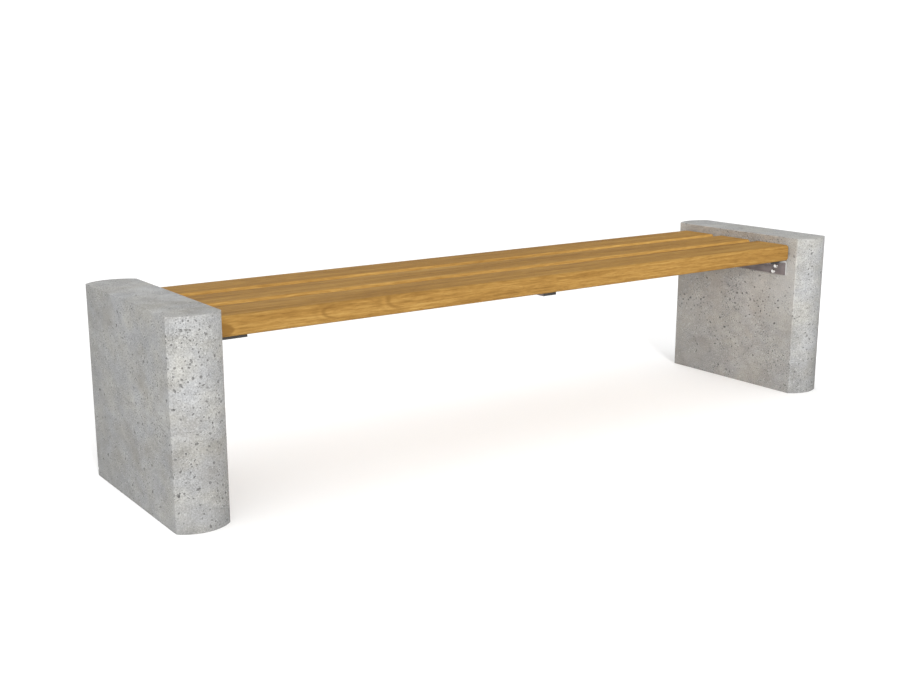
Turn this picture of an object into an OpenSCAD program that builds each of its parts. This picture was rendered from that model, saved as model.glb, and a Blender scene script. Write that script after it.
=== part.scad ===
// Backless bench: three timber slats carried between two precast concrete end blocks.
// Millimetres. X runs along the bench, -Y is its front, +Z is up.
// The origin is on the ground, under the middle of the seat.

/* [Bench] */
// Overall length, over the outer faces of the two end blocks
bench_length = 2000; // [1400:10:2600]
// Overall depth, over the bulged ends of the blocks
bench_depth = 500; // [410:5:650]
// Height of the end blocks
block_height = 450; // [370:5:560]

/* [End blocks] */
// Thickness of each block, along the bench
block_thickness = 120; // [100:2:170]
// How far each bulged end of a block stands out beyond its two corners
end_bulge = 25; // [10:1:40]

/* [Reinforcement] */
// Concrete over the outermost reinforcement bars
bar_cover = 25; // [20:1:30]
// Diameter of the upright reinforcement bars
upright_bar_d = 8; // [6:1:10]
// Diameter of the level reinforcement bars
level_bar_d = 6; // [5:1:8]
// Height of the lowest level bars above the underside, and of the highest below the top
level_bar_end = 45; // [40:1:60]
// How deep two crossing bars are welded into each other
bar_weld = 0.8; // [0.5:0.1:1.2]

/* [Seat] */
// How far the top of the seat lies below the top of the blocks
seat_drop = 20; // [0:1:40]
// How far the seat stays behind the bulged front and back of the blocks
seat_inset = 50; // [45:1:70]
// Thickness of a slat
slat_thickness = 45; // [37:1:60]
// Open gap between two slats
slat_gap = 23; // [8:1:30]
// Radius of a slat's four long edges
slat_edge_radius = 9; // [2:0.5:14]
// Clearance between the end of a slat and its block
slat_end_clearance = 3; // [1:0.5:6]

/* [Brackets] */
// Width of the bracket's level leg, under the slats
seat_leg = 70; // [56:1:90]
// Height of the bracket's upright leg, against the block
wall_leg = 42; // [40:1:60]
// Thickness of the bracket plate
bracket_thickness = 5; // [4:0.5:6]
// Inner radius of the bracket's fold
fold_radius = 5; // [2:0.5:6]
// How far brackets and centre bar stay behind the seat's front and back edges
bracket_inset = 6; // [2:1:20]
// Width of the flat bar under the middle of the seat
centre_bar_width = 40; // [32:1:60]
// Thickness of the flat bar under the middle of the seat
centre_bar_thickness = 6; // [4:0.5:8]

/* [Bracket bolts] */
// Nominal diameter of the bracket bolts, which stand in staggered pairs
bolt_d = 6; // [5:0.1:7.4]
// Length of a bracket bolt under its head
bolt_length = 30; // [25:1:34]
// Height between the two bolts of a pair
bolt_pair_rise = 16; // [15:0.5:18]
// How much nearer to the bracket's end the upper bolt of a pair lies
bolt_pair_step = 8; // [6:1:16]
// Distance of the middle of a pair from the end of its bracket
bolt_end_distance = 38; // [28:1:60]
// Height of a pair's lower bolt above the lower edge of the bracket
bolt_edge_distance = 7; // [6.5:0.5:8]

/* [Cast-in sleeves] */
// Length of the sleeves for the bracket bolts
bolt_sleeve_length = 40; // [36:1:60]
// Depth of the thread in a sleeve for a bracket bolt
bolt_sleeve_depth = 30; // [29:1:34]
// Nominal diameter of the threaded anchors that go up into the ground sleeves
anchor_d = 12; // [8:2:20]
// Length of the ground sleeves
ground_sleeve_length = 60; // [54:1:72]
// Depth of the thread in a ground sleeve
ground_sleeve_depth = 48; // [40:1:50]
// Distance of a ground sleeve from the corners of its block, along the block's flat sides
ground_sleeve_inset = 75; // [60:1:110]
// Wall of a sleeve
sleeve_wall = 2.5; // [2:0.25:3]
// How far the anchoring foot of a sleeve stands out around it
sleeve_foot_rim = 1.75; // [1:0.25:2]
// Thickness of the anchoring foot of a sleeve
sleeve_foot_thickness = 4; // [3:0.5:5]

/* [Slat screws] */
// Nominal diameter of the coach screws under the slats
screw_d = 6; // [5:0.1:8]
// Length of a coach screw under its head
screw_length = 40; // [34:1:42]
// Distance of a coach screw from the long edge of its slat
screw_edge_distance = 38; // [24:1:44]
// Distance of the end brackets' coach screws from the block
screw_wall_distance = 42; // [36:1:46]
// Empty depth of the pilot hole beyond the screw's tip
pilot_spare = 2; // [1:0.5:3]

/* [Clearances] */
// Radial clearance of a thread in its hole
thread_clearance = 0.05; // [0.02:0.01:0.1]
// Radial clearance of a bolt or screw in a plate or washer
shank_clearance = 0.5; // [0.3:0.1:1]

/* [Hidden] */
$fn = 96;

// Standard proportions of hexagon-headed bolts and screws and of flat washers
HEAD_ACROSS_FLATS = 1.58;
HEAD_HEIGHT = 0.65;
HEAD_CHAMFER = 0.07;
WASHER_DIAMETER = 2;
WASHER_THICKNESS = 0.2;
THREAD_CORE = 0.85;
// How far a cutting shape runs past the faces that it cuts
OVERCUT = 1;

// End blocks
inner_face_x = bench_length / 2 - block_thickness;
block_centre_x = bench_length / 2 - block_thickness / 2;
flat_length = bench_depth - 2 * end_bulge;
bulge_radius = (pow(block_thickness / 2, 2) + pow(end_bulge, 2)) / (2 * end_bulge);

// Seat
seat_depth = bench_depth - 2 * seat_inset;
slat_count = 3;
slat_width = (seat_depth - (slat_count - 1) * slat_gap) / slat_count;
slat_pitch = slat_width + slat_gap;
slat_length = 2 * (inner_face_x - slat_end_clearance);
seat_underside_z = block_height - seat_drop - slat_thickness;

// Brackets and centre bar
bracket_length = seat_depth - 2 * bracket_inset;
wall_leg_bottom_z = seat_underside_z - wall_leg;
bolt_pair_y = bracket_length / 2 - bolt_end_distance;
bolt_pair_z = wall_leg_bottom_z + bolt_edge_distance + bolt_pair_rise / 2;
screw_offset = slat_width / 2 - screw_edge_distance;
end_screw_x = inner_face_x - screw_wall_distance;
ground_sleeve_y = flat_length / 2 - ground_sleeve_inset;

// Reinforcement, measured from the middle of a block
level_bar_x = block_thickness / 2 - bar_cover - level_bar_d / 2;
cross_bar_y = flat_length / 2 - bar_cover - level_bar_d / 2;
weld_offset = (upright_bar_d + level_bar_d) / 2 - bar_weld;
upright_bar_x = level_bar_x - weld_offset;
upright_bar_y = cross_bar_y - weld_offset;
cross_bar_rise = level_bar_d - bar_weld;
bar_overrun = level_bar_d;
level_count = 4;
level_spacing = (block_height - 2 * level_bar_end - cross_bar_rise) / (level_count - 1);
level_heights = [for (i = [0 : level_count - 1]) level_bar_end + i * level_spacing];

// Colours
CONCRETE = [0.70, 0.70, 0.69];
TIMBER = [0.72, 0.54, 0.31];
BRACKET_STEEL = [0.42, 0.39, 0.37];
STAINLESS = [0.80, 0.80, 0.79];
BAR_STEEL = [0.45, 0.33, 0.26];

function washer_thickness(d) = WASHER_THICKNESS * d;

// A hexagon head that stands on z = 0, with its outer rim chamfered
module hexagon_head(d) {
    across_flats = HEAD_ACROSS_FLATS * d;
    across_corners = across_flats / cos(30);
    chamfer = HEAD_CHAMFER * d;
    height = HEAD_HEIGHT * d;
    intersection() {
        cylinder(h = height, d = across_corners, $fn = 6);
        union() {
            cylinder(h = height - chamfer, d = across_corners + OVERCUT);
            translate([0, 0, height - chamfer])
                cylinder(h = chamfer, d1 = across_corners + OVERCUT, d2 = across_flats - 2 * chamfer);
        }
    }
}

// A hexagon bolt with its head on z = 0: full shank down to the plate's far face, then thread
module hexagon_bolt(d, length, shank) {
    hexagon_head(d);
    translate([0, 0, -shank])
        cylinder(h = shank, d = d);
    translate([0, 0, -length])
        cylinder(h = length - shank, d = THREAD_CORE * d);
}

// A flat washer that stands on z = 0
module washer(d) {
    difference() {
        cylinder(h = washer_thickness(d), d = WASHER_DIAMETER * d);
        translate([0, 0, -OVERCUT])
            cylinder(h = washer_thickness(d) + 2 * OVERCUT, d = d + 2 * shank_clearance);
    }
}

// The outside of a cast-in sleeve for thread d, with its mouth on z = 0 and its foot at the far end
module sleeve_outside(d, length) {
    outer_d = d + 2 * sleeve_wall;
    translate([0, 0, -length])
        cylinder(h = length, d = outer_d);
    translate([0, 0, -length])
        cylinder(h = sleeve_foot_thickness, d = outer_d + 2 * sleeve_foot_rim);
}

// A cast-in sleeve with a blind thread
module sleeve(d, length, depth) {
    difference() {
        sleeve_outside(d, length);
        translate([0, 0, -depth])
            cylinder(h = depth + OVERCUT, d = THREAD_CORE * d + 2 * thread_clearance);
    }
}

// Puts its children on the right-hand block's inner face, at the bracket bolts, facing the seat
module at_bracket_bolts(stand_off) {
    for (end = [-1, 1])
        for (up = [-1, 1])
            translate([
                inner_face_x - stand_off,
                end * (bolt_pair_y + up * bolt_pair_step / 2),
                bolt_pair_z + up * bolt_pair_rise / 2
            ])
                rotate([0, -90, 0])
                    children();
}

// Puts its children under the right-hand block, at the ground sleeves, facing down
module at_ground_sleeves() {
    for (y = [-ground_sleeve_y, ground_sleeve_y])
        translate([block_centre_x, y, 0])
            rotate([180, 0, 0])
                children();
}

// Puts its children at the screws of all slats, in one line across the bench, facing down
module at_slat_screws(x, drop) {
    for (row = [-1 : 1])
        for (side = [-1, 1])
            translate([x, row * slat_pitch + side * screw_offset, seat_underside_z - drop])
                rotate([180, 0, 0])
                    children();
}

// Outline of a block from above: two flat sides, front and back bulged between crisp corners
module block_outline() {
    square([block_thickness, flat_length], center = true);
    for (end = [-1, 1])
        intersection() {
            translate([0, end * (bench_depth / 2 - bulge_radius)])
                circle(r = bulge_radius);
            translate([0, end * (flat_length + end_bulge) / 2])
                square([block_thickness, end_bulge], center = true);
        }
}

// A bar of diameter d along Y, Z or X through the origin
module bar(length, d, turn) {
    rotate(turn)
        cylinder(h = length, d = d, center = true);
}

// The welded cage of one block, at the right-hand block
module reinforcement() {
    color(BAR_STEEL)
        translate([block_centre_x, 0, 0]) {
            for (x = [-upright_bar_x, upright_bar_x])
                for (y = [-upright_bar_y, 0, upright_bar_y])
                    translate([x, y, block_height / 2])
                        bar(block_height - 2 * bar_cover, upright_bar_d, [0, 0, 0]);
            for (z = level_heights) {
                for (x = [-level_bar_x, level_bar_x])
                    translate([x, 0, z])
                        bar(2 * (cross_bar_y + bar_overrun), level_bar_d, [90, 0, 0]);
                for (y = [-cross_bar_y, cross_bar_y])
                    translate([0, y, z + cross_bar_rise])
                        bar(2 * (level_bar_x + bar_overrun), level_bar_d, [0, 90, 0]);
            }
        }
}

// The right-hand concrete block, hollow only where steel is cast in
module concrete_end() {
    color(CONCRETE)
        difference() {
            translate([block_centre_x, 0, 0])
                linear_extrude(height = block_height)
                    block_outline();
            reinforcement();
            at_bracket_bolts(0)
                sleeve_outside(bolt_d, bolt_sleeve_length);
            at_ground_sleeves()
                sleeve_outside(anchor_d, ground_sleeve_length);
        }
}

// Section of a slat, centred, with four rounded edges
module slat_section() {
    square([slat_width - 2 * slat_edge_radius, slat_thickness], center = true);
    square([slat_width, slat_thickness - 2 * slat_edge_radius], center = true);
    for (y = [-1, 1])
        for (z = [-1, 1])
            translate([y * slat_width / 2, z * slat_thickness / 2] - [y, z] * slat_edge_radius)
                circle(r = slat_edge_radius);
}

// Pilot holes of one line of screws, up into the slats
module pilot_holes(x, plate) {
    depth = screw_length - washer_thickness(screw_d) - plate + pilot_spare;
    at_slat_screws(x, 0)
        translate([0, 0, -depth])
            cylinder(h = depth + OVERCUT, d = THREAD_CORE * screw_d + 2 * thread_clearance);
}

// One slat: row -1 is the front, 0 the middle and 1 the back
module seat_slat(row) {
    color(TIMBER)
        difference() {
            translate([0, row * slat_pitch, seat_underside_z + slat_thickness / 2])
                rotate([90, 0, 90])
                    linear_extrude(height = slat_length, center = true)
                        slat_section();
            pilot_holes(-end_screw_x, bracket_thickness);
            pilot_holes(0, centre_bar_thickness);
            pilot_holes(end_screw_x, bracket_thickness);
        }
}

// Section of a folded bracket in X and Z, with the outside of its corner at the origin
module bracket_section() {
    outer_radius = fold_radius + bracket_thickness;
    translate([-seat_leg, -bracket_thickness])
        square([seat_leg - outer_radius, bracket_thickness]);
    translate([-bracket_thickness, -wall_leg])
        square([bracket_thickness, wall_leg - outer_radius]);
    translate([-outer_radius, -outer_radius])
        intersection() {
            difference() {
                circle(r = outer_radius);
                circle(r = fold_radius);
            }
            square(outer_radius);
        }
}

// The right-hand bracket, with its bolt holes and screw holes
module end_bracket() {
    color(BRACKET_STEEL)
        difference() {
            translate([inner_face_x, 0, seat_underside_z])
                rotate([90, 0, 0])
                    linear_extrude(height = bracket_length, center = true)
                        bracket_section();
            at_bracket_bolts(-OVERCUT)
                cylinder(h = bracket_thickness + 2 * OVERCUT, d = bolt_d + 2 * shank_clearance);
            at_slat_screws(end_screw_x, -OVERCUT)
                cylinder(h = bracket_thickness + 2 * OVERCUT, d = screw_d + 2 * shank_clearance);
        }
}

// The flat bar that ties the slats together at mid-span
module centre_bar() {
    color(BRACKET_STEEL)
        difference() {
            translate([0, 0, seat_underside_z - centre_bar_thickness / 2])
                cube([centre_bar_width, bracket_length, centre_bar_thickness], center = true);
            at_slat_screws(0, -OVERCUT)
                cylinder(h = centre_bar_thickness + 2 * OVERCUT, d = screw_d + 2 * shank_clearance);
        }
}

module bracket_bolts() {
    grip = bracket_thickness + washer_thickness(bolt_d);
    color(STAINLESS)
        at_bracket_bolts(grip)
            hexagon_bolt(bolt_d, bolt_length, grip);
}

module bracket_washers() {
    color(STAINLESS)
        at_bracket_bolts(bracket_thickness)
            washer(bolt_d);
}

module bracket_sleeves() {
    color(STAINLESS)
        at_bracket_bolts(0)
            sleeve(bolt_d, bolt_sleeve_length, bolt_sleeve_depth);
}

module ground_sleeves() {
    color(STAINLESS)
        at_ground_sleeves()
            sleeve(anchor_d, ground_sleeve_length, ground_sleeve_depth);
}

module slat_screws(x, plate) {
    grip = plate + washer_thickness(screw_d);
    color(STAINLESS)
        at_slat_screws(x, grip)
            hexagon_bolt(screw_d, screw_length, grip);
}

module slat_washers(x, plate) {
    color(STAINLESS)
        at_slat_screws(x, plate)
            washer(screw_d);
}

// The left-hand twin of a right-hand piece
module left_hand() {
    mirror([1, 0, 0])
        children();
}

left_hand() concrete_end();  // concrete_end_left
concrete_end();  // concrete_end_right
seat_slat(-1);  // seat_slat_front
seat_slat(0);  // seat_slat_middle
seat_slat(1);  // seat_slat_back
left_hand() end_bracket();  // end_bracket_left
end_bracket();  // end_bracket_right
centre_bar();
left_hand() bracket_bolts();  // bracket_bolts_left
bracket_bolts();  // bracket_bolts_right
left_hand() bracket_washers();  // bracket_washers_left
bracket_washers();  // bracket_washers_right
left_hand() bracket_sleeves();  // bracket_sleeves_left
bracket_sleeves();  // bracket_sleeves_right
left_hand() ground_sleeves();  // ground_sleeves_left
ground_sleeves();  // ground_sleeves_right
left_hand() reinforcement();  // reinforcement_left
reinforcement();  // reinforcement_right
slat_screws(-end_screw_x, bracket_thickness);  // slat_screws_left
slat_screws(0, centre_bar_thickness);  // slat_screws_centre
slat_screws(end_screw_x, bracket_thickness);  // slat_screws_right
slat_washers(-end_screw_x, bracket_thickness);  // slat_washers_left
slat_washers(0, centre_bar_thickness);  // slat_washers_centre
slat_washers(end_screw_x, bracket_thickness);  // slat_washers_right
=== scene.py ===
import math
import random

import bmesh
import bpy
from mathutils import Matrix, Vector, noise


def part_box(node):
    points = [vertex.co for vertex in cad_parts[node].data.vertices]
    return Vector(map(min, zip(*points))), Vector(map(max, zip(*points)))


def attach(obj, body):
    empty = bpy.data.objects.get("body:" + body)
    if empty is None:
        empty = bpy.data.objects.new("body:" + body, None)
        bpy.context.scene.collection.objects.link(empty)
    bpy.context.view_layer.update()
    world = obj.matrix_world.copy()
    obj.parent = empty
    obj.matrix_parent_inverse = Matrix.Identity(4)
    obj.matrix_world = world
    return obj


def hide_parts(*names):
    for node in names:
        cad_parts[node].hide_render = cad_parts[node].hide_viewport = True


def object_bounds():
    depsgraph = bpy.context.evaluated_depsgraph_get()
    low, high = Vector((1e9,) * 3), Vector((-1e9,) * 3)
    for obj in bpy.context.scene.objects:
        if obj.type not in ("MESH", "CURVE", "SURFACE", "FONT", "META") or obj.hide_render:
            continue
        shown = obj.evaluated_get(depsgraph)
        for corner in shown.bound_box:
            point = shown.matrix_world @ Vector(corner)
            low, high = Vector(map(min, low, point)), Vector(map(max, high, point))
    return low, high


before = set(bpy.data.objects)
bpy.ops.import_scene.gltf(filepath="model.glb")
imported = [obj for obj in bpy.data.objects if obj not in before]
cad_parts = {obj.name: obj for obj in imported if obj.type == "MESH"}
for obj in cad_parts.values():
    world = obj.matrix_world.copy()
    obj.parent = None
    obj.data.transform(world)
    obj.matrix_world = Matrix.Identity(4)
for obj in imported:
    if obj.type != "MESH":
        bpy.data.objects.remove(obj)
cad_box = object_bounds()

MM = 0.001
BODY = "root"

# Sizes that only the looks need, in metres
END_BULGE = 25 * MM           # how far a block's bulged end stands out beyond its corners
ARC_STEPS = 40                # facets along one bulged end
ARRIS = 1.3 * MM              # worn edge of the concrete
SLAT_EDGE = 9 * MM            # radius of a slat's long edges
SLAT_END_EDGE = 3.5 * MM      # radius of the edges around a slat's ends
EDGE_STEPS = 8                # facets around a slat's long edge
END_EDGE_STEPS = 6            # facets around the edge of its end
PLATE_EDGE = 0.8 * MM         # broken edge of the steel plates
HEAD_EDGE = 0.35 * MM         # broken edge of bolts, screws and washers


# ---------------------------------------------------------------- material helpers

class Graph:
    """A material's node tree, with one short call per node."""

    def __init__(self, name):
        self.material = bpy.data.materials.new(name)
        self.material.use_nodes = True
        self.tree = self.material.node_tree
        self.shader = self.tree.nodes["Principled BSDF"]
        self.place = self.tree.nodes.new("ShaderNodeTexCoord").outputs["Object"]

    def feed(self, socket, value):
        if isinstance(value, bpy.types.NodeSocket):
            self.tree.links.new(value, socket)
        else:
            socket.default_value = value

    def stretched(self, scale, offset=(0, 0, 0), turn=(0, 0, 0), place=None):
        """The object's coordinates, scaled, turned and moved."""
        n = self.tree.nodes.new("ShaderNodeMapping")
        self.feed(n.inputs["Vector"], place or self.place)
        n.inputs["Scale"].default_value = scale
        n.inputs["Location"].default_value = offset
        n.inputs["Rotation"].default_value = turn
        return n.outputs["Vector"]

    def noise(self, scale, detail=2.0, roughness=0.5, distortion=0.0, place=None):
        n = self.tree.nodes.new("ShaderNodeTexNoise")
        self.feed(n.inputs["Vector"], place or self.place)
        n.inputs["Scale"].default_value = scale
        n.inputs["Detail"].default_value = detail
        n.inputs["Roughness"].default_value = roughness
        n.inputs["Distortion"].default_value = distortion
        return n.outputs["Fac"]

    def cells(self, scale, randomness=1.0, place=None):
        """Distance to the nearest of many scattered points."""
        n = self.tree.nodes.new("ShaderNodeTexVoronoi")
        self.feed(n.inputs["Vector"], place or self.place)
        n.inputs["Scale"].default_value = scale
        n.inputs["Randomness"].default_value = randomness
        return n.outputs["Distance"]

    def math(self, operation, a, b=0.0, c=0.0, clamp=False):
        n = self.tree.nodes.new("ShaderNodeMath")
        n.operation = operation
        n.use_clamp = clamp
        for socket, value in zip(n.inputs, (a, b, c)):
            self.feed(socket, value)
        return n.outputs["Value"]

    def span(self, value, low, high, to_low=0.0, to_high=1.0, smooth=False):
        """value's stretch from low to high, spread from to_low to to_high and held there."""
        n = self.tree.nodes.new("ShaderNodeMapRange")
        n.interpolation_type = "SMOOTHSTEP" if smooth else "LINEAR"
        self.feed(n.inputs["Value"], value)
        self.feed(n.inputs["From Min"], low)
        self.feed(n.inputs["From Max"], high)
        self.feed(n.inputs["To Min"], to_low)
        self.feed(n.inputs["To Max"], to_high)
        return n.outputs["Result"]

    def mix(self, amount, a, b, blend="MIX"):
        n = self.tree.nodes.new("ShaderNodeMix")
        n.data_type = "RGBA"
        n.blend_type = blend
        self.feed(n.inputs["Factor"], amount)
        self.feed(n.inputs["A"], a if isinstance(a, bpy.types.NodeSocket) else (*a, 1))
        self.feed(n.inputs["B"], b if isinstance(b, bpy.types.NodeSocket) else (*b, 1))
        return n.outputs["Result"]

    def split(self, vector):
        n = self.tree.nodes.new("ShaderNodeSeparateXYZ")
        self.feed(n.inputs[0], vector)
        return n.outputs["X"], n.outputs["Y"], n.outputs["Z"]

    def join(self, x, y, z):
        n = self.tree.nodes.new("ShaderNodeCombineXYZ")
        for socket, value in zip(n.inputs, (x, y, z)):
            self.feed(socket, value)
        return n.outputs["Vector"]

    def bump(self, height, strength, distance, below=None):
        n = self.tree.nodes.new("ShaderNodeBump")
        n.inputs["Strength"].default_value = strength
        n.inputs["Distance"].default_value = distance
        self.feed(n.inputs["Height"], height)
        if below is not None:
            self.feed(n.inputs["Normal"], below)
        return n.outputs["Normal"]

    def finish(self, colour, roughness, normal=None, metallic=0.0, specular=0.5):
        self.feed(self.shader.inputs["Base Color"], colour)
        self.feed(self.shader.inputs["Roughness"], roughness)
        self.shader.inputs["Metallic"].default_value = metallic
        self.shader.inputs["Specular IOR Level"].default_value = specular
        if normal is not None:
            self.feed(self.shader.inputs["Normal"], normal)
        return self.material


def scaled(colour, share):
    """A colour made lighter or darker."""
    return tuple(c * share for c in colour)


# ---------------------------------------------------------------- concrete

CEMENT_LIGHT = (0.455, 0.455, 0.447)
CEMENT_DARK = (0.175, 0.174, 0.168)
CEMENT_WARM = (0.440, 0.385, 0.325)
STAIN = (0.190, 0.175, 0.150)

# Painted light and shade on a block, and how it darkens near the ground. Each pair is where an effect
# starts and where it is full, in metres: up the block, back along it from the middle (Y), or behind the
# corner where its front bulge starts
WARM_UP = (0.20, 0.40)
WARM_BEHIND_CORNER = 0.15
# Painted light on the inner face under the front of the seat
PAINTED_LIGHT_UP = (0.10, 0.30)
PAINTED_LIGHT_BELOW_TOP = (0.03, 0.06)
PAINTED_LIGHT_Y_START = 0.05
PAINTED_LIGHT_BEHIND_CORNER = 0.06
PAINTED_LIGHT = 0.30
# Painted shade, darker towards the back
BACK_Y = (-0.06, 0.20)
BACK_SHADE = 0.32
# Darker towards the bottom, more on the bulge
FOOT_UP = (0.14, 0.03)
FOOT_DARKENING = 0.10              # on the flat sides
BULGE_FOOT_DARKENING = 0.30
# Painted shade at the front right corner, darkest near the ground
CORNER_REACH_X = 80 * MM
CORNER_REACH_Y = 90 * MM
CORNER_FULL_UP = 0.10
CORNER_FOOT_SHADE = 0.25       # what is added to the corner's painted shade at that height


def tone_of(g, clouds, blotches, grain):
    """One brightness from 0 to 1 out of three noises, by how much each one counts."""
    tone = g.math("MULTIPLY_ADD", clouds[0], clouds[1], 0.5 - (clouds[1] + blotches[1] + grain[1]) / 2)
    tone = g.math("MULTIPLY_ADD", blotches[0], blotches[1], tone)
    return g.math("MULTIPLY_ADD", grain[0], grain[1], tone)


def pores_of(g, scale, crowd, shift):
    """Round pores in some of the cells of a scattered pattern, more of them where crowd nears 1.

    Gives how much of a pore and how much of its pale rim lies at each place."""
    n = g.tree.nodes.new("ShaderNodeTexVoronoi")
    g.feed(n.inputs["Vector"], g.stretched((1, 1, 1), offset=shift))
    n.inputs["Scale"].default_value = scale
    chance, size, _ = g.split(n.outputs["Color"])
    wanted = g.math("LESS_THAN", chance, g.span(crowd, 0.0, 1.0, 0.05, 0.60))
    past = g.math("SUBTRACT", n.outputs["Distance"], g.span(size, 0.0, 1.0, 0.12, 0.36))
    pore = g.math("MULTIPLY", wanted, g.span(past, -0.04, 0.04, 1.0, 0.0))
    rim = g.math("MULTIPLY", wanted, g.math("MULTIPLY", g.span(past, 0.30, 0.06), g.span(past, 0.0, 0.06)))
    return pore, rim


def paint_light_and_shade(g, node, colour, light, dark, inner, corner_shade):
    """Painted light on the inner face under the front of the seat; below the top, painted shade towards
    the back and at the front right corner, and darker near the ground. corner_shade is how dark the
    painted shade at that corner is at its top."""
    low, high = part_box(node)
    corner_x, corner_y, height = high[0], low[1] + END_BULGE, high[2]
    x, y, z = g.split(g.place)
    # Painted light: lighter on the inner face under the front of the seat, to lift the seat's shade there
    painted_light_mask = g.math("MULTIPLY", g.span(y, PAINTED_LIGHT_Y_START, corner_y + PAINTED_LIGHT_BEHIND_CORNER), g.span(z, *PAINTED_LIGHT_UP))
    under_top = g.span(z, height - PAINTED_LIGHT_BELOW_TOP[0], height - PAINTED_LIGHT_BELOW_TOP[1])
    painted_light_mask = g.math("MULTIPLY", g.math("MULTIPLY", painted_light_mask, inner), under_top)
    colour = g.mix(g.math("MULTIPLY", painted_light_mask, PAINTED_LIGHT), colour, scaled(light, 1.25))

    # Painted shade towards the back
    back = g.span(y, *BACK_Y, 0.0, BACK_SHADE)
    # Darker towards the bottom
    foot = g.span(y, corner_y + 4 * MM, corner_y, FOOT_DARKENING, BULGE_FOOT_DARKENING)
    foot = g.math("MULTIPLY", g.span(z, *FOOT_UP), foot)
    # Painted shade at the front right corner, where the bulge turns away from the light
    corner = g.math("MULTIPLY", g.span(x, corner_x - CORNER_REACH_X, corner_x),
                    g.span(y, corner_y + CORNER_REACH_Y, corner_y))
    down = g.span(z, height, CORNER_FULL_UP, corner_shade, corner_shade + CORNER_FOOT_SHADE)
    corner = g.math("MULTIPLY", corner, down)
    # Painted shade towards the back and at the corner, each with the darkening near the ground added
    painted_shade_and_foot = g.math("MAXIMUM", g.math("ADD", back, foot), g.math("ADD", corner, foot))
    return g.mix(g.math("MULTIPLY", painted_shade_and_foot, g.math("LESS_THAN", z, height - ARRIS)), colour, dark)


def make_concrete(name, node, strength, warm_from, warm_to, corner_shade, depth):
    """Mottled cement with sandy grain and pores, warmer where the X coordinate nears warm_to.

    strength is how light the block is, corner_shade how dark the painted shade at its front right corner
    is, and depth how dark a pit's inside is painted, a painted shade: 0 for the skin."""
    g = Graph(name)
    light, dark, warm_tone, stain = (scaled(colour, strength)
                                     for colour in (CEMENT_LIGHT, CEMENT_DARK, CEMENT_WARM, STAIN))
    clouds = g.noise(4.2, detail=4, roughness=0.6, distortion=0.9, place=g.stretched((1, 1, 1.7)))
    blotches = g.noise(24, detail=6, roughness=0.68, distortion=0.5, place=g.stretched((1, 1, 1.5)))
    grain = g.noise(300, detail=4, roughness=0.72)
    stains = g.noise(8.5, detail=5, roughness=0.62, place=g.stretched((1, 1, 1.3), offset=(3.1, 7.7, 1.9)))
    tone = tone_of(g, (clouds, 0.60), (blotches, 1.05), (grain, 2.10))
    colour = g.mix(tone, dark, light)
    hue = g.noise(13, detail=3, place=g.stretched((1, 1, 1.5), offset=(5, 1, 8)))
    tint = g.mix(g.span(hue, 0.36, 0.64), (1.02, 1.005, 0.965), (0.98, 0.99, 1.02))
    colour = g.mix(1.0, colour, tint, "MULTIPLY")
    colour = g.mix(g.span(stains, 0.50, 0.68, 0.0, 0.40), colour, stain)
    x, y, z = g.split(g.place)
    inner = g.span(x, warm_from, warm_to)
    corner_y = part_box(node)[0][1] + END_BULGE
    # Warmer on the face towards the seat, and lighter there: painted light that lifts the seat's shade
    warm = g.math("MULTIPLY", inner, g.span(z, *WARM_UP, 0.35, 1.0))
    warm = g.math("MULTIPLY", warm, g.span(y, corner_y, corner_y + WARM_BEHIND_CORNER, 0.45, 1.0))
    warm = g.math("MULTIPLY", warm, g.span(stains, 0.30, 0.60, 0.40, 0.85))
    warm_colour = g.mix(tone, scaled(warm_tone, 0.5), scaled(warm_tone, 1.4))
    colour = g.mix(warm, colour, warm_colour)
    colour = paint_light_and_shade(g, node, colour, light, dark, inner, corner_shade)

    crowd = g.span(g.noise(11, detail=3, place=g.stretched((1, 1, 1), offset=(9, 2, 5))), 0.46, 0.62)
    small_pore, small_rim = pores_of(g, 240, crowd, (1, 2, 3))
    large_pore, large_rim = pores_of(g, 130, crowd, (4, 0, 6))
    pores = g.math("MAXIMUM", small_pore, large_pore)
    rims = g.math("MAXIMUM", small_rim, large_rim)
    # Painted highlight on the pale rims and painted shade in the pores; both also shape the bump below
    colour = g.mix(g.math("MULTIPLY", rims, 0.45), colour, scaled(light, 1.18))
    colour = g.mix(g.math("MULTIPLY", pores, 0.65), colour, scaled(dark, 0.6))
    # A pit's inside is painted darker: painted shade in the hollow
    if depth:
        colour = g.mix(depth, colour, scaled(dark, 0.65))

    normal = g.bump(blotches, 0.35, 2.0 * MM)
    normal = g.bump(grain, 0.70, 1.5 * MM, below=normal)
    relief = g.math("SUBTRACT", rims, g.math("MULTIPLY", pores, 2.0))
    normal = g.bump(relief, 0.7, 0.6 * MM, below=normal)
    return g.finish(colour, g.span(blotches, 0.3, 0.7, 0.78, 0.92), normal, specular=0.4)


def bulge_arc(width):
    """A bulged end's radius, and the angle from its middle to its corner."""
    half = width / 2
    radius = (half ** 2 + END_BULGE ** 2) / (2 * END_BULGE)
    return radius, math.asin(half / radius)


def block_outline(width, depth):
    """Points around a block from above, centred: two flat sides, bulged front and back."""
    radius, swing = bulge_arc(width)
    points = []
    for side in (-1, 1):
        centre = side * (depth / 2 - radius)
        for i in range(ARC_STEPS + 1):
            angle = swing * (2 * i / ARC_STEPS - 1)
            points.append((side * -radius * math.sin(angle), centre + side * radius * math.cos(angle)))
    return points


def new_object(name, mesh):
    piece = bpy.data.objects.new(name, mesh)
    bpy.context.scene.collection.objects.link(piece)
    return piece


def apply_modifiers(piece):
    """Puts the piece's modifiers into its mesh."""
    depsgraph = bpy.context.evaluated_depsgraph_get()
    mesh = bpy.data.meshes.new_from_object(piece.evaluated_get(depsgraph), depsgraph=depsgraph)
    mesh.name = piece.name
    piece.modifiers.clear()
    piece.data = mesh


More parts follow.
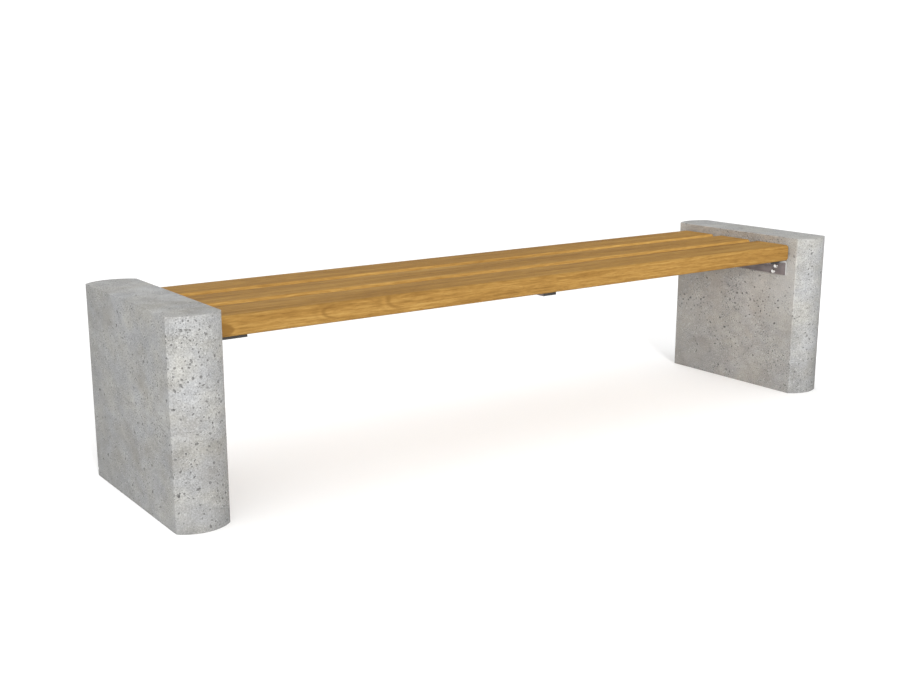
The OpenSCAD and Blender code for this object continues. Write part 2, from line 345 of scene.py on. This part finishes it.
def smooth_between_edges(piece, degrees=30):
    piece.data.shade_smooth()
    piece.data.set_sharp_from_angle(angle=math.radians(degrees))


def prism(name, outline, centre, low, high, edge):
    """An upright prism on an outline, with every crisp edge rounded a little."""
    mesh = bpy.data.meshes.new(name)
    bm = bmesh.new()
    base = [bm.verts.new((centre + x, y, low)) for x, y in outline]
    face = bm.faces.new(base)
    top = bmesh.ops.extrude_face_region(bm, geom=[face])["geom"]
    raised = [v for v in top if isinstance(v, bmesh.types.BMVert)]
    bmesh.ops.translate(bm, verts=raised, vec=(0, 0, high - low))
    bmesh.ops.recalc_face_normals(bm, faces=bm.faces)
    bm.to_mesh(mesh)
    bm.free()
    piece = new_object(name, mesh)
    bevel = piece.modifiers.new("edge", "BEVEL")
    bevel.width = edge
    bevel.segments = 3
    bevel.limit_method = "ANGLE"
    bevel.angle_limit = math.radians(30)
    apply_modifiers(piece)
    return piece


PIT_LARGEST = 3.6             # radius in mm, as are the radii that the logarithms stand for
PIT_MEDIAN_LOG = 0.28
PIT_SPREAD_LOG = 0.46
PIT_STRETCH = (1.0, 2.2)      # length over width
PIT_DEPTH = (0.55, 0.95)      # as a share of the radius
PIT_RAISED = (0.0, 0.5)       # how far a pit's middle lies outside the face, as a share of its depth
PIT_SPACING = 1.7             # between two pits' middles, as a share of both radii together
PIT_TO_EDGE = 1.5             # from a pit's middle to the worn edge, as a share of its radius
PIT_TRIES = 30                # places tried for a pit before it is left out
PIT_DARKNESS = 0.64
CLUSTER_FLATNESS = 0.6        # a cluster's height over its width
CHIPS_PER_EDGE = 16
CHIP_LARGEST = 2.4            # radius in mm too
CHIP_MEDIAN_LOG = -0.1
CHIP_SPREAD_LOG = 0.45
CHIP_STRETCH = (1, 2.5)
LUMP_HEIGHT = 0.30            # of the lumps on a pebble, as a share of its radius
LUMP_RATE = 1.3
LUMP_STEP = 7.31              # moves each pebble's lumps away from the last one's


def blob(bm, centre, along, across, out, radii, seed):
    """A lumpy closed pebble, which cuts one pit. The three directions are unit vectors."""
    fine = 2 if max(radii) > 2 * MM else 1
    made = bmesh.ops.create_icosphere(bm, subdivisions=fine, radius=1.0)["verts"]
    for v in made:
        p = v.co.copy()
        p *= 1 + LUMP_HEIGHT * noise.noise(p * LUMP_RATE + Vector((seed, 0, 0)))
        v.co = centre + along * (p.x * radii[0]) + across * (p.y * radii[1]) + out * (p.z * radii[2])


def pit_places(rng, width, height, clusters, loose, margin):
    """Where the pits of one face lie, as (across, up, radius): clusters first, then loose ones."""
    made = []
    for cluster in [c for c in clusters for _ in range(c[3])] + [None] * loose:
        size = cluster[4] if cluster else 1
        radius = min(PIT_LARGEST, size * rng.lognormvariate(PIT_MEDIAN_LOG, PIT_SPREAD_LOG)) * MM
        for _ in range(PIT_TRIES):
            if cluster:
                u = rng.gauss(cluster[0], cluster[2])
                w = rng.gauss(cluster[1], cluster[2] * CLUSTER_FLATNESS)
            else:
                u = rng.uniform(0, 1)
                w = rng.uniform(0, 1)
            across, up = u * width, w * height
            clear = margin + PIT_TO_EDGE * radius
            if not (clear < across < width - clear and clear < up < height - clear):
                continue
            if all(math.hypot(across - a, up - b) > PIT_SPACING * (radius + r) for a, b, r in made):
                made.append((across, up, radius))
                break
    return made


def cut_pits(piece, centre, box, plan, lining, seed):
    """Cuts pits and chips into a block. plan gives each face's clusters and number of loose pits."""
    low, high = box
    width, depth, height = high[0] - low[0], high[1] - low[1], high[2] - low[2]
    flat = depth - 2 * END_BULGE
    half = width / 2
    radius, swing = bulge_arc(width)
    arc = 2 * swing * radius
    up = Vector((0, 0, 1))
    rng = random.Random(seed)
    bm = bmesh.new()

    def place(face, a, b):
        """The point a along and b up a face, with its outward and level directions."""
        if face in ("front", "back"):
            side = -1 if face == "front" else 1
            angle = a / radius - swing
            out = Vector((math.sin(angle), side * math.cos(angle), 0))
            on = Vector((centre, side * (depth / 2 - radius), b)) + out * radius
        elif face == "top":
            out = up.copy()
            on = Vector((low[0] + a, -flat / 2 + b, high[2]))
        else:
            side = 1 if face == "right" else -1
            out = Vector((side, 0, 0))
            on = Vector((centre + side * half, -flat / 2 + a, b))
        level = Vector((1, 0, 0)) if face == "top" else up.cross(out)
        return on, out, level

    spans = {"front": (arc, height), "back": (arc, height), "left": (flat, height),
             "right": (flat, height), "top": (width, flat)}
    count = 0
    for face, (clusters, loose) in plan.items():
        across, tall = spans[face]
        for a, b, r in pit_places(rng, across, tall, clusters, loose, ARRIS):
            on, out, level = place(face, a, b)
            turn = Matrix.Rotation(rng.uniform(0, math.pi), 3, out)
            along = turn @ level
            stretch = rng.uniform(*PIT_STRETCH)
            pit_depth = r * rng.uniform(*PIT_DEPTH)
            middle = on + out * (pit_depth * rng.uniform(*PIT_RAISED))
            radii = (r * math.sqrt(stretch), r / math.sqrt(stretch), pit_depth)
            blob(bm, middle, along, out.cross(along), out, radii, seed + LUMP_STEP * count)
            count += 1
    # chips along the crisp edges: upright ones at the four corners, level ones around the top
    corners = [(centre + sx * half, sy * flat / 2) for sx in (-1, 1) for sy in (-1, 1)]
    edges = [(Vector((x, y, low[2])), Vector((x, y, high[2]))) for x, y in corners]
    edges += [(Vector((x, -flat / 2, high[2])), Vector((x, flat / 2, high[2]))) for x in (low[0], high[0])]
    for start, end in edges:
        for _ in range(CHIPS_PER_EDGE):
            r = min(CHIP_LARGEST, rng.lognormvariate(CHIP_MEDIAN_LOG, CHIP_SPREAD_LOG)) * MM
            at = start.lerp(end, rng.uniform(0.02, 0.98))
            along = (end - start).normalized()
            side = along.orthogonal()
            radii = (r * rng.uniform(*CHIP_STRETCH), r, r)
            blob(bm, at, along, side, along.cross(side), radii, seed + LUMP_STEP * count)
            count += 1
    mesh = bpy.data.meshes.new("pit_cutter")
    bm.to_mesh(mesh)
    bm.free()
    mesh.materials.append(lining)
    cutter = new_object("pit_cutter", mesh)
    cut = piece.modifiers.new("pits", "BOOLEAN")
    cut.operation = "DIFFERENCE"
    cut.solver = "MANIFOLD"
    cut.object = cutter
    cut.material_mode = "TRANSFER"
    apply_modifiers(piece)
    bpy.data.objects.remove(cutter)
    bpy.data.meshes.remove(mesh)


def make_block(name, node, plan, look, seed):
    """One concrete end block with its pits, in the place of its CAD node.

    look is how light its cement is, the X coordinates between which it grows warmer, and how dark
    the painted shade at its front right corner is."""
    low, high = (Vector(c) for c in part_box(node))
    centre = (low.x + high.x) / 2
    outline = block_outline(high.x - low.x, high.y - low.y)
    piece = prism(name, outline, centre, low.z, high.z, ARRIS)
    piece.data.materials.append(make_concrete(name, node, *look, 0))
    # The pits' lining is the same cement painted darker, a painted shade
    lining = make_concrete(name + "_pit", node, *look, PIT_DARKNESS)
    cut_pits(piece, centre, (low, high), plan, lining, seed)
    smooth_between_edges(piece)
    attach(piece, BODY)
    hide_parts(node)
    return piece


# Each face: clusters as (across, up, spread, number, size), all but the number as shares, then the
# number of loose pits
LEFT_PLAN = {
    "front": ([(0.26, 0.90, 0.10, 44, 0.9), (0.40, 0.81, 0.08, 16, 1.3), (0.10, 0.70, 0.05, 12, 1),
               (0.90, 0.76, 0.05, 12, 1.2), (0.55, 0.61, 0.16, 38, 1), (0.80, 0.48, 0.08, 22, 1.1),
               (0.70, 0.32, 0.20, 90, 1), (0.25, 0.30, 0.10, 20, 1), (0.72, 0.13, 0.15, 56, 1.1)], 70),
    "left": ([(0.12, 0.46, 0.05, 34, 1.2), (0.30, 0.62, 0.10, 30, 1), (0.62, 0.78, 0.12, 30, 1),
              (0.80, 0.35, 0.10, 30, 1), (0.45, 0.12, 0.16, 30, 1)], 110),
    "right": ([(0.40, 0.45, 0.12, 40, 1.1), (0.70, 0.70, 0.12, 30, 1.1)], 80),
    "back": ([(0.40, 0.70, 0.16, 60, 1), (0.60, 0.25, 0.14, 60, 1.1)], 60),
    "top": ([(0.60, 0.20, 0.10, 16, 0.9), (0.35, 0.62, 0.12, 12, 0.9)], 30),
}
RIGHT_PLAN = {
    "front": ([(0.35, 0.85, 0.14, 40, 1.2), (0.60, 0.45, 0.18, 56, 1.2), (0.40, 0.15, 0.14, 34, 1.2)], 70),
    "left": ([(0.50, 0.58, 0.05, 14, 1.7), (0.80, 0.45, 0.08, 46, 1.4), (0.60, 0.28, 0.06, 22, 1.5),
              (0.58, 0.06, 0.05, 12, 1.4), (0.30, 0.52, 0.12, 60, 1.25), (0.45, 0.20, 0.16, 40, 1.2),
              (0.50, 0.93, 0.30, 50, 1.2)], 150),
    "right": ([(0.60, 0.45, 0.12, 40, 1.1), (0.25, 0.75, 0.12, 26, 1)], 80),
    "back": ([(0.30, 0.40, 0.16, 60, 1.1), (0.60, 0.75, 0.14, 50, 1)], 60),
    "top": ([(0.50, 0.60, 0.12, 14, 0.9)], 30),
}

# A block is warmer on its face towards the seat, and lighter there: painted light against the seat's shade
left_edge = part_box("concrete_end_left")[1][0]
right_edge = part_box("concrete_end_right")[0][0]
# The left block's cement is a little darker than the right's: painted shade for the lamp standing nearer to
# it
make_block("concrete_block_left", "concrete_end_left", LEFT_PLAN,
           (0.955, left_edge - 3 * MM, left_edge, 0.0), 11)
make_block("concrete_block_right", "concrete_end_right", RIGHT_PLAN,
           (1.00, right_edge + 3 * MM, right_edge, 0.50), 47)


# ---------------------------------------------------------------- timber

WOOD_LIGHT = (0.410, 0.248, 0.074)
WOOD_MID = (0.290, 0.160, 0.042)
WOOD_DARK = (0.165, 0.082, 0.020)
PITH_WANDER = 45 * MM         # to either side


def along_grain(g, here, scale, offset, detail=3, roughness=0.6):
    """Noise drawn out along the slat: scale is its rate along the slat and across it."""
    place = g.stretched((scale[0], scale[1], scale[1]), offset=offset, place=here)
    return g.noise(1.0, detail=detail, roughness=roughness, place=place)


def flame(g, x, z, wobble, middle, reach):
    """Two soft dark lines, like arcs of a cathedral grain: the left part of an ellipse in X and Z."""
    across = g.math("DIVIDE", g.math("SUBTRACT", x, middle[0]), reach[0])
    up = g.math("DIVIDE", g.math("SUBTRACT", z, middle[1]), reach[1])
    out = g.math("SQRT", g.math("ADD", g.math("MULTIPLY", across, across), g.math("MULTIPLY", up, up)))
    out = g.math("MULTIPLY_ADD", wobble, 0.5, out)
    line = g.math("MULTIPLY", g.span(out, 1.02, 1.26, smooth=True), g.span(out, 1.56, 1.30, smooth=True))
    faint = g.math("MULTIPLY", g.span(out, 1.62, 1.85, smooth=True), g.span(out, 2.15, 1.88, smooth=True))
    lines = g.math("MULTIPLY_ADD", faint, 0.35, line)
    return g.math("MULTIPLY", lines, g.span(across, 0.15, -0.45, smooth=True))


def ragged_dark_spot(g, x, z, wobble, middle, reach):
    """A ragged spot, as an ellipse in X and Z."""
    spot = g.join(g.math("DIVIDE", g.math("SUBTRACT", x, middle[0]), reach[0]), 0.0,
                  g.math("DIVIDE", g.math("SUBTRACT", z, middle[1]), reach[1]))
    out = g.tree.nodes.new("ShaderNodeVectorMath")
    out.operation = "LENGTH"
    g.feed(out.inputs[0], spot)
    ragged = g.math("MULTIPLY_ADD", wobble, 0.6, out.outputs["Value"])
    return g.span(ragged, 1.36, 1.12, 0.0, 0.72, smooth=True)


def make_wood(name, low, high, pith, ring, tilt, seed, edge_highlight, flames=(), front_mark=None):
    """Solid timber: faint rings around a pith that wanders, with streaks, fibre flecks and pores.

    low and high are the slat's corners. edge_highlight is how much lighter the rounded front edge is
    painted, a painted highlight."""
    centre = [(a + b) / 2 for a, b in zip(low, high)]
    g = Graph(name)
    here = g.stretched((1, 1, 1), offset=(-centre[0], -centre[1], -centre[2]))
    x, y, z = g.split(g.stretched((1, 1, 1), turn=(0, *tilt), place=here))
    slow = g.join(g.math("MULTIPLY", x, 1.6), g.math("MULTIPLY", y, 4.0), g.math("MULTIPLY", z, 4.0))
    wander_y = g.noise(1.0, detail=2, place=g.stretched((1, 1, 1), offset=(seed, 0, 0), place=slow))
    wander_z = g.noise(1.0, detail=2, place=g.stretched((1, 1, 1), offset=(0, seed, 4), place=slow))
    off_y = g.math("ADD", y, g.span(wander_y, 0, 1, -pith[0] - PITH_WANDER, -pith[0] + PITH_WANDER))
    off_z = g.math("ADD", z, g.span(wander_z, 0, 1, -pith[1] - PITH_WANDER, -pith[1] + PITH_WANDER))
    squares = g.math("ADD", g.math("MULTIPLY", off_y, off_y), g.math("MULTIPLY", off_z, off_z))
    distance = g.math("SQRT", squares)
    fuzz = along_grain(g, here, (9, 70), (seed, 1, 2), detail=4)
    phase = g.math("ADD", g.math("DIVIDE", distance, ring), g.math("MULTIPLY", fuzz, 0.9))
    saw = g.math("FRACT", phase)
    late = g.math("MULTIPLY", g.span(saw, 0.25, 0.90, smooth=True), g.span(saw, 1.0, 0.90))
    year = g.noise(1.0, detail=0, place=g.join(g.math("FLOOR", phase), seed, 0.5))

    streaks = along_grain(g, here, (1.5, 34), (seed, 5, 1), roughness=0.55)
    ribbons = along_grain(g, here, (3.5, 120), (seed, 2, 6), detail=4)
    flecks = along_grain(g, here, (26, 330), (seed, 7, 3), roughness=0.65)
    fibres = along_grain(g, here, (11, 700), (seed, 3, 8))
    pores = g.span(along_grain(g, here, (60, 1500), (seed, 9, 9), detail=1), 0.62, 0.72)

    tone = tone_of(g, (streaks, 1.0), (ribbons, 1.0), (flecks, 1.4))
    colour = g.mix(g.span(tone, 0.5, 1.0), WOOD_MID, WOOD_LIGHT)
    colour = g.mix(g.span(tone, 0.5, 0.0), colour, WOOD_DARK)
    colour = g.mix(g.math("MULTIPLY", late, g.span(year, 0.3, 0.7, 0.04, 0.30)), colour, WOOD_DARK)
    colour = g.mix(g.span(fibres, 0.40, 0.75, 0.0, 0.30), colour, WOOD_DARK)
    colour = g.mix(g.math("MULTIPLY", pores, 0.45), colour, scaled(WOOD_DARK, 0.7))
    own_x, own_y, own_z = g.split(here)
    front, back, top = low[1] - centre[1], high[1] - centre[1], high[2] - centre[2]
    # darker in a band behind the front edge, and painted shade along the back edge beside the gap
    band = g.math("MULTIPLY", g.span(own_y, front + 5 * MM, front + 13 * MM),
                  g.span(own_y, front + 43 * MM, front + 25 * MM, smooth=True))
    band_and_gap_shade = g.math("MAXIMUM", band, g.span(own_y, back - 19 * MM, back - 7 * MM))
    colour = g.mix(g.math("MULTIPLY", band_and_gap_shade, g.span(ribbons, 0.35, 0.65, 0.08, 0.24)), colour, WOOD_DARK)
    on_front = g.span(own_y, front + 8 * MM, front + 1 * MM)
    # Painted highlight on the rounded front edge
    rounded = g.math("MULTIPLY", g.span(own_y, front + 10 * MM, front + 4 * MM),
                     g.span(own_z, top - 12.5 * MM, top - 7.5 * MM))
    # Painted light: the slat is lighter towards +X, and its rounded front edge gets a painted highlight
    painted_light_and_highlight = g.span(own_x, -0.9, 0.9, 0.98, 1.14)
    painted_light_and_highlight = g.math("MULTIPLY", painted_light_and_highlight, g.math("MULTIPLY_ADD", rounded, edge_highlight, 1.0))
    colour = g.mix(1.0, colour, g.join(painted_light_and_highlight, painted_light_and_highlight, painted_light_and_highlight), "MULTIPLY")
    for middle, reach in flames:
        line = g.math("MULTIPLY", flame(g, own_x, own_z, fuzz, middle, reach), on_front)
        colour = g.mix(g.math("MULTIPLY", line, 0.55), colour, WOOD_DARK)
    if front_mark:
        dark = g.math("MULTIPLY", ragged_dark_spot(g, own_x, own_z, ribbons, *front_mark), on_front)
        colour = g.mix(dark, colour, WOOD_DARK)

    height = g.math("SUBTRACT", g.math("ADD", fibres, g.math("MULTIPLY", flecks, 0.7)), pores)
    normal = g.bump(height, 0.35, 0.4 * MM)
    normal = g.bump(late, 0.15, 0.3 * MM, below=normal)
    roughness = g.span(flecks, 0.3, 0.7, 0.58, 0.72)
    return g.finish(colour, roughness, normal, specular=0.04)


def make_slat(name, node, material):
    """One slat with rounded long edges and softer broken edges around its ends."""
    low, high = (Vector(c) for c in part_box(node))
    centre = (low + high) / 2
    half = (high - low) / 2
    section = []
    for cy, cz, start in ((1, 1, 0), (-1, 1, 90), (-1, -1, 180), (1, -1, 270)):
        for i in range(EDGE_STEPS + 1):
            angle = math.radians(start + 90 * i / EDGE_STEPS)
            section.append((cy * (half.y - SLAT_EDGE) + SLAT_EDGE * math.cos(angle),
                            cz * (half.z - SLAT_EDGE) + SLAT_EDGE * math.sin(angle)))
    # stations along the slat: the end edge is a quarter round, the rest is straight
    stations = []
    for i in range(END_EDGE_STEPS + 1):
        angle = math.radians(90 * i / END_EDGE_STEPS)
        inset = SLAT_END_EDGE * (1 - math.cos(angle))
        stations.append((half.x - SLAT_END_EDGE * (1 - math.sin(angle)), inset))
    stations = [(-x, inset) for x, inset in reversed(stations)] + stations
    bm = bmesh.new()
    rings = []
    for x, inset in stations:
        share_y, share_z = 1 - inset / half.y, 1 - inset / half.z
        around = [(centre.x + x, centre.y + y * share_y, centre.z + z * share_z) for y, z in section]
        rings.append([bm.verts.new(point) for point in around])
    count = len(section)
    for a, b in zip(rings, rings[1:]):
        for i in range(count):
            bm.faces.new((a[i], a[(i + 1) % count], b[(i + 1) % count], b[i]))
    bm.faces.new(rings[0][::-1])
    bm.faces.new(rings[-1])
    bmesh.ops.recalc_face_normals(bm, faces=bm.faces)
    mesh = bpy.data.meshes.new(name)
    bm.to_mesh(mesh)
    bm.free()
    piece = new_object(name, mesh)
    mesh.materials.append(material)
    smooth_between_edges(piece, 35)
    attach(piece, BODY)
    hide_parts(node)
    return piece


# Each slat: its CAD node, where its pith lies from its middle (across, up), ring spacing, tilt, seed
# and how strong the painted highlight on its front edge is
SLATS = [
    ("seat_slat_front", (0.050, -0.075), 0.0075, (0.010, -0.014), 3.1, 0.0),
    ("seat_slat_middle", (-0.030, 0.110), 0.0065, (-0.006, 0.010), 8.4, 0.30),
    ("seat_slat_back", (0.020, -0.120), 0.0070, (0.008, 0.006), 15.7, 0.30),
]
# Two arcs and a dark spot on the front slat's face: the place of each from the slat's middle, and its
# reach, both in X and Z
FRONT_FLAMES = [((-0.600, 0.004), (0.034, 0.014)), ((-0.430, 0.012), (0.040, 0.018))]
FRONT_DARK_SPOT = ((-0.874, -0.007), (0.034, 0.017))
for node, pith, ring, tilt, seed, edge_highlight in SLATS:
    marks = (FRONT_FLAMES, FRONT_DARK_SPOT) if node == "seat_slat_front" else ()
    wood = make_wood("timber_" + node.rsplit("_", 1)[1], *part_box(node), pith, ring, tilt, seed, edge_highlight,
                     *marks)
    make_slat("timber_" + node, node, wood)


# ---------------------------------------------------------------- steel

def make_bracket_steel(front_face_y, highlight_from, highlight_to):
    """Grey-brown coated plate. Its front face is painted near black, a painted shade, and bright where X
    nears highlight_to, a painted highlight.
    """
    g = Graph("bracket_steel")
    cloud = g.noise(24, detail=4, roughness=0.6)
    scuff = g.noise(1.0, detail=3, roughness=0.6, place=g.stretched((300, 30, 300)))
    colour = g.mix(g.span(cloud, 0.35, 0.65), (0.135, 0.112, 0.112), (0.185, 0.158, 0.156))
    colour = g.mix(g.span(scuff, 0.45, 0.75, 0.0, 0.25), colour, (0.26, 0.24, 0.24))
    x, y, z = g.split(g.place)
    # The front faces: painted shade, near black, and a painted highlight, bright, at the right end
    cut = g.math("LESS_THAN", y, front_face_y + 0.4 * MM)
    painted_highlight = g.span(x, highlight_from, highlight_to)
    painted_highlight = g.math("MULTIPLY", painted_highlight, g.span(cloud, 0.3, 0.7, 0.8, 1.0))
    edge = g.mix(painted_highlight, (0.030, 0.029, 0.028), (0.42, 0.42, 0.41))
    colour = g.mix(cut, colour, edge)
    normal = g.bump(g.math("ADD", cloud, scuff), 0.12, 0.4 * MM)
    return g.finish(colour, g.span(scuff, 0.3, 0.7, 0.50, 0.66), normal, specular=0.25)


def make_stainless(name, colour, roughness):
    """Brushed stainless steel with a few smudges."""
    g = Graph(name)
    brushed = g.noise(1.0, detail=3, roughness=0.7, place=g.stretched((900, 900, 140)))
    smudge = g.noise(90, detail=3)
    tone = g.mix(g.span(smudge, 0.35, 0.7), colour, scaled(colour, 0.86))
    normal = g.bump(brushed, 0.10, 0.15 * MM)
    gloss = g.span(brushed, 0.3, 0.7, roughness - 0.06, roughness + 0.08)
    return g.finish(tone, gloss, normal, metallic=1.0)


def make_bar_steel():
    """Reinforcing steel with patches of rust."""
    g = Graph("reinforcing_steel")
    rust = g.noise(130, detail=5, roughness=0.65)
    colour = g.mix(g.span(rust, 0.35, 0.65), (0.10, 0.085, 0.075), (0.23, 0.105, 0.045))
    normal = g.bump(rust, 0.4, 0.4 * MM)
    return g.finish(colour, g.span(rust, 0.3, 0.7, 0.6, 0.9), normal, metallic=0.3)


def broken_edges(name, node, material, edge):
    """A copy of a CAD node's mesh with its sharp edges broken, shown in the node's place."""
    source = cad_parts[node]
    mesh = source.data.copy()
    mesh.name = name
    bm = bmesh.new()
    bm.from_mesh(mesh)
    bmesh.ops.remove_doubles(bm, verts=bm.verts, dist=1e-6)
    bmesh.ops.dissolve_limit(bm, angle_limit=math.radians(1), verts=bm.verts, edges=bm.edges)
    bm.to_mesh(mesh)
    bm.free()
    mesh.materials.clear()
    mesh.materials.append(material)
    piece = new_object(name, mesh)
    piece.matrix_world = source.matrix_world
    bevel = piece.modifiers.new("edge", "BEVEL")
    bevel.width = edge
    bevel.segments = 2
    bevel.limit_method = "ANGLE"
    bevel.angle_limit = math.radians(40)
    apply_modifiers(piece)
    smooth_between_edges(piece, 40)
    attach(piece, BODY)
    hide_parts(node)
    return piece


# The right bracket's front end gets a painted highlight near the block that it is bolted to
plate_low, plate_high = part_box("end_bracket_right")
bracket_steel = make_bracket_steel(plate_low[1], plate_low[0] + 34 * MM, plate_high[0] - 8 * MM)
bright_steel = make_stainless("bright_stainless", (0.74, 0.73, 0.71), 0.22)
cast_in_steel = make_stainless("cast_in_stainless", (0.60, 0.59, 0.57), 0.38)
bar_steel = make_bar_steel()

for node in ("end_bracket_left", "end_bracket_right", "centre_bar"):
    broken_edges(node + "_plate", node, bracket_steel, PLATE_EDGE)
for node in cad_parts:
    if node.startswith(("bracket_bolts", "bracket_washers", "slat_screws", "slat_washers")):
        broken_edges(node + "_bright", node, bright_steel, HEAD_EDGE)

for node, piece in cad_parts.items():
    if "sleeves" in node:
        kept = cast_in_steel
    elif node.startswith("reinforcement"):
        kept = bar_steel
    else:
        continue
    for slot in piece.material_slots:
        slot.material = kept


# ---------------------------------------------------------------- floor, light and camera

def make_floor():
    """A white floor that glows a little, so that the shadows on it stay faint."""
    g = Graph("studio_floor")
    haze = g.noise(3, detail=2)
    colour = g.mix(haze, (0.93, 0.93, 0.93), (0.95, 0.95, 0.95))
    material = g.finish(colour, 0.9, specular=0.1)
    g.shader.inputs["Emission Color"].default_value = (1, 1, 1, 1)
    g.shader.inputs["Emission Strength"].default_value = 0.07
    bpy.ops.mesh.primitive_plane_add(size=60, location=(0, 0, cad_box[0][2]))
    floor = bpy.context.object
    floor.name = "floor"
    floor.data.materials.append(material)


def soft_light(name, place, aim, size, power):
    """A square lamp, aimed at a point."""
    data = bpy.data.lights.new(name, "AREA")
    data.shape = "SQUARE"
    data.size = size
    data.energy = power
    lamp = new_object(name, data)
    lamp.location = place
    lamp.rotation_euler = (Vector(aim) - Vector(place)).to_track_quat("-Z", "Y").to_euler()


DIM_UNTIL = -0.6              # cosine of the angle to the bright side
BRIGHT_FROM = 0.25
HORIZON_HEIGHT = 0.07         # sine of the angle above the horizon


def make_world(bright_side, dim, bright, side_loss, right_loss, horizon):
    """A studio that is bright above and behind the bench, dimmer in front of it and at its sides.

    It is darkest at the right, and a low bright band runs all round at the horizon."""
    world = bpy.data.worlds.new("studio")
    world.use_nodes = True
    tree = world.node_tree

    def math_node(operation, a, b, c=0.0):
        n = tree.nodes.new("ShaderNodeMath")
        n.operation = operation
        for socket, value in zip(n.inputs, (a, b, c)):
            if isinstance(value, bpy.types.NodeSocket):
                tree.links.new(value, socket)
            else:
                socket.default_value = value
        return n.outputs["Value"]

    where = tree.nodes.new("ShaderNodeTexCoord").outputs["Generated"]
    parts = tree.nodes.new("ShaderNodeSeparateXYZ")
    tree.links.new(where, parts.inputs[0])
    x, y, z = parts.outputs
    facing = tree.nodes.new("ShaderNodeVectorMath")
    facing.operation = "DOT_PRODUCT"
    tree.links.new(where, facing.inputs[0])
    facing.inputs[1].default_value = Vector(bright_side).normalized()
    ramp = tree.nodes.new("ShaderNodeMapRange")
    ramp.interpolation_type = "SMOOTHSTEP"
    tree.links.new(facing.outputs["Value"], ramp.inputs["Value"])
    ramp.inputs["From Min"].default_value = DIM_UNTIL
    ramp.inputs["From Max"].default_value = BRIGHT_FROM
    ramp.inputs["To Min"].default_value = dim
    ramp.inputs["To Max"].default_value = bright
    sides = math_node("MULTIPLY_ADD", math_node("MULTIPLY", x, x), -side_loss, 1.0)
    sides = math_node("MULTIPLY_ADD", math_node("MAXIMUM", x, 0.0), -right_loss, sides)
    light = math_node("MULTIPLY", ramp.outputs["Result"], sides)
    band = math_node("MULTIPLY", math_node("LESS_THAN", z, HORIZON_HEIGHT), horizon)
    sky = tree.nodes["Background"]
    sky.inputs["Color"].default_value = (1, 1, 1, 1)
    tree.links.new(math_node("MAXIMUM", light, band), sky.inputs["Strength"])
    bpy.context.scene.world = world


make_floor()
make_world(bright_side=(-0.17, 0.60, 0.78), dim=0.35, bright=1.56, side_loss=0.76, right_loss=0.50,
           horizon=1.10)
soft_light("key", place=(-2.2, -6.4, 2.6), aim=(2.5, 0, 0.2), size=1.5, power=395)

# The camera stands at the front left, above the bench
CAMERA_PLACE = (-1.8723, -2.4091, 0.9187)
CAMERA_TURN = math.radians(-35.393)
CAMERA_TILT = math.radians(90 - 13.172)
CAMERA_LENS = 48.17

camera_data = bpy.data.cameras.new("camera")
camera_data.sensor_width = 36
camera_data.lens = CAMERA_LENS
camera = new_object("camera", camera_data)
camera.location = CAMERA_PLACE
camera.rotation_euler = (CAMERA_TILT, 0, CAMERA_TURN)
bpy.context.scene.camera = camera
bpy.context.scene.view_settings.view_transform = "Standard"
